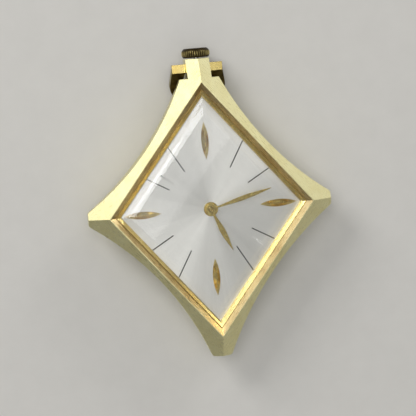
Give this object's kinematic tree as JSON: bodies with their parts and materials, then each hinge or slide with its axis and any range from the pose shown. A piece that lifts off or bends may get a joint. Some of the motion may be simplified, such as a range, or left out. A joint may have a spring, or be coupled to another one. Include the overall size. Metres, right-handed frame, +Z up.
{
  "type": "fob watch",
  "caption": "Diamond-shaped pendant watch with faceted gold case, domed crystal, silvered dial, folding bow and a hand-wound lever movement",
  "frame": {"origin": "on the axis of the hands, at the outer flat of the case back that the watch lies on", "axes": "+Z up out of the dial, +Y to 12 o'clock and the crown, +X to 3 o'clock"},
  "size_m": [0.033, 0.0416, 0.0072],
  "materials": {
    "case_gold": "pale gold plate, satin facets with polished edges",
    "crown_brass": "worn, tarnished brass, knurled",
    "crystal_glass": "clear moulded crystal with bevelled margins",
    "dial_silver": "silvered, sunburst brushed, lacquered",
    "hand_gold": "polished gold colour",
    "movement_brass": "turned brass",
    "plate_nickel": "nickel plated brass, fine grained",
    "ruby": "synthetic ruby, polished",
    "wheel_brass": "gilt brass, circular grain",
    "steel": "polished steel"
  },
  "bodies": {
    "case": {"case_body": "case_gold", "inner_frame": "case_gold", "crystal": "crystal_glass", "dial": "dial_silver", "marker_12": "hand_gold", "marker_3": "hand_gold", "marker_6": "hand_gold", "marker_9": "hand_gold", "movement_ring": "movement_brass", "pendant_tube": "crown_brass", "main_plate": "plate_nickel", "barrel_bridge": "plate_nickel", "train_bridge": "plate_nickel", "pallet_bridge": "plate_nickel", "balance_cock": "plate_nickel", "bridge_screws": "steel", "jewels": "ruby", "crown_wheel_screw": "steel", "click_spring": "steel", "hairspring_stud": "steel", "regulator": "steel"},
    "case_back": {"case_back": "case_gold"},
    "bow": {"bow": "case_gold"},
    "winding_pinion": {"winding_pinion": "steel"},
    "crown_and_stem": {"crown": "crown_brass", "stem": "steel"},
    "sliding_pinion": {"sliding_pinion": "steel"},
    "setting_lever": {"setting_lever": "steel"},
    "yoke": {"yoke": "steel"},
    "setting_wheel": {"setting_wheel": "steel"},
    "crown_wheel": {"crown_wheel": "steel"},
    "ratchet": {"ratchet_wheel": "steel", "ratchet_screw": "steel", "barrel_arbor": "steel"},
    "click": {"click": "steel"},
    "barrel": {"barrel_drum": "wheel_brass", "barrel_cover": "wheel_brass", "mainspring": "steel"},
    "centre_wheel": {"centre_wheel": "wheel_brass", "centre_pinion": "steel"},
    "third_wheel": {"third_wheel": "wheel_brass", "third_pinion": "steel"},
    "fourth_wheel": {"fourth_wheel": "wheel_brass", "fourth_pinion": "steel"},
    "escape_wheel": {"escape_wheel": "steel", "escape_pinion": "steel"},
    "pallet_fork": {"pallet_fork": "steel", "pallet_stones": "ruby", "pallet_staff": "steel"},
    "balance": {"balance_wheel": "wheel_brass", "balance_staff": "steel", "roller": "steel", "hairspring": "steel"},
    "minute_hand": {"minute_hand": "hand_gold", "cannon_pinion": "steel"},
    "minute_wheel": {"minute_wheel": "wheel_brass"},
    "hour_hand": {"hour_hand": "hand_gold", "hour_wheel": "wheel_brass"}
  },
  "joints": [
    {"name": "bow_hinge", "type": "hinge", "parent": "case", "child": "bow", "pos_m": [0, 0.019, 0.0028], "axis": [1, 0, 0], "range_deg": [0, 255]},
    {"name": "case_back_off", "type": "slide", "parent": "case", "child": "case_back", "axis": [0, 0, -1], "range_m": [0, 0.008]},
    {"name": "crown_turn", "type": "hinge", "parent": "case", "child": "winding_pinion", "pos_m": [0, 0, 0.0028], "axis": [0, 1, 0], "continuous": true},
    {"name": "crown_pull", "type": "slide", "parent": "winding_pinion", "child": "crown_and_stem", "axis": [0, 1, 0], "range_m": [0, 0.0007]},
    {"name": "sliding_pinion_shift", "type": "slide", "parent": "winding_pinion", "child": "sliding_pinion", "axis": [0, 1, 0], "range_m": [-0.00051, 0]},
    {"name": "setting_lever_swing", "type": "hinge", "parent": "case", "child": "setting_lever", "pos_m": [0.0021, 0.007, 0.004], "axis": [0, 0, -1], "range_deg": [0, 21.5]},
    {"name": "yoke_swing", "type": "hinge", "parent": "case", "child": "yoke", "pos_m": [0.0022, 0.0054, 0.004], "axis": [0, 0, 1], "range_deg": [0, 13.5]},
    {"name": "crown_wheel_turn", "type": "hinge", "parent": "case", "child": "crown_wheel", "pos_m": [0, 0.00519, 0.00135], "axis": [0, 0, 1], "continuous": true},
    {"name": "ratchet_turn", "type": "hinge", "parent": "case", "child": "ratchet", "pos_m": [-0.0039, 0.00225, 0.00135], "axis": [0, 0, 1], "continuous": true},
    {"name": "click_lift", "type": "hinge", "parent": "case", "child": "click", "pos_m": [-0.0061, -0.00155, 0.0015], "axis": [0, 0, -1], "range_deg": [0, 8], "stiffness_Nm_per_rad": 0.00001},
    {"name": "minute_hand_turn", "type": "hinge", "parent": "centre_wheel", "child": "minute_hand", "pos_m": [0, 0, 0.0055], "axis": [0, 0, -1], "continuous": true},
    {"name": "minute_wheel_turn", "type": "hinge", "parent": "case", "child": "minute_wheel", "pos_m": [0.00169, 0.0017, 0.00385], "axis": [0, 0, -1], "continuous": true},
    {"name": "hour_hand_turn", "type": "hinge", "parent": "case", "child": "hour_hand", "pos_m": [0, 0, 0.0052], "axis": [0, 0, -1], "continuous": true},
    {"name": "setting_wheel_turn", "type": "hinge", "parent": "case", "child": "setting_wheel", "pos_m": [0.00055, 0.00415, 0.00385], "axis": [0, 0, -1], "continuous": true},
    {"name": "centre_wheel_turn", "type": "hinge", "parent": "case", "child": "centre_wheel", "pos_m": [0, 0, 0.00266], "axis": [0, 0, -1], "continuous": true},
    {"name": "barrel_turn", "type": "hinge", "parent": "case", "child": "barrel", "pos_m": [-0.0039, 0.00225, 0.003], "axis": [0, 0, -1], "continuous": true},
    {"name": "third_wheel_turn", "type": "hinge", "parent": "case", "child": "third_wheel", "pos_m": [-0.00105, -0.00288, 0.0023], "axis": [0, 0, -1], "continuous": true},
    {"name": "fourth_wheel_turn", "type": "hinge", "parent": "case", "child": "fourth_wheel", "pos_m": [0.00151, -0.00381, 0.003], "axis": [0, 0, -1], "continuous": true},
    {"name": "escape_wheel_turn", "type": "hinge", "parent": "case", "child": "escape_wheel", "pos_m": [0.00397, -0.00424, 0.00264], "axis": [0, 0, -1], "continuous": true},
    {"name": "pallet_fork_swing", "type": "hinge", "parent": "case", "child": "pallet_fork", "pos_m": [0.0045, -0.00195, 0.00262], "axis": [0, 0, 1], "range_deg": [-8, 8]},
    {"name": "balance_swing", "type": "hinge", "parent": "case", "child": "balance", "pos_m": [0.005, 0.0002, 0.00195], "axis": [0, 0, 1], "range_deg": [-270, 270], "stiffness_Nm_per_rad": 0.00000004}
  ],
  "couplings": [
    {"joint": "sliding_pinion_shift", "follows": "crown_pull", "ratio": -0.71429},
    {"joint": "setting_lever_swing", "follows": "crown_pull", "rad_per_m": 521.11},
    {"joint": "yoke_swing", "follows": "crown_pull", "rad_per_m": 316.65},
    {"joint": "crown_wheel_turn", "follows": "crown_turn", "ratio": 0.6},
    {"joint": "ratchet_turn", "follows": "crown_turn", "ratio": -0.34615},
    {"joint": "minute_wheel_turn", "follows": "minute_hand_turn", "ratio": -0.33333},
    {"joint": "hour_hand_turn", "follows": "minute_hand_turn", "ratio": 0.083333},
    {"joint": "setting_wheel_turn", "follows": "minute_hand_turn", "ratio": 0.66667},
    {"joint": "fourth_wheel_turn", "follows": "escape_wheel_turn", "ratio": -0.1},
    {"joint": "third_wheel_turn", "follows": "escape_wheel_turn", "ratio": 0.013333},
    {"joint": "centre_wheel_turn", "follows": "escape_wheel_turn", "ratio": -0.0016667},
    {"joint": "barrel_turn", "follows": "escape_wheel_turn", "ratio": 0.00020833}
  ]
}
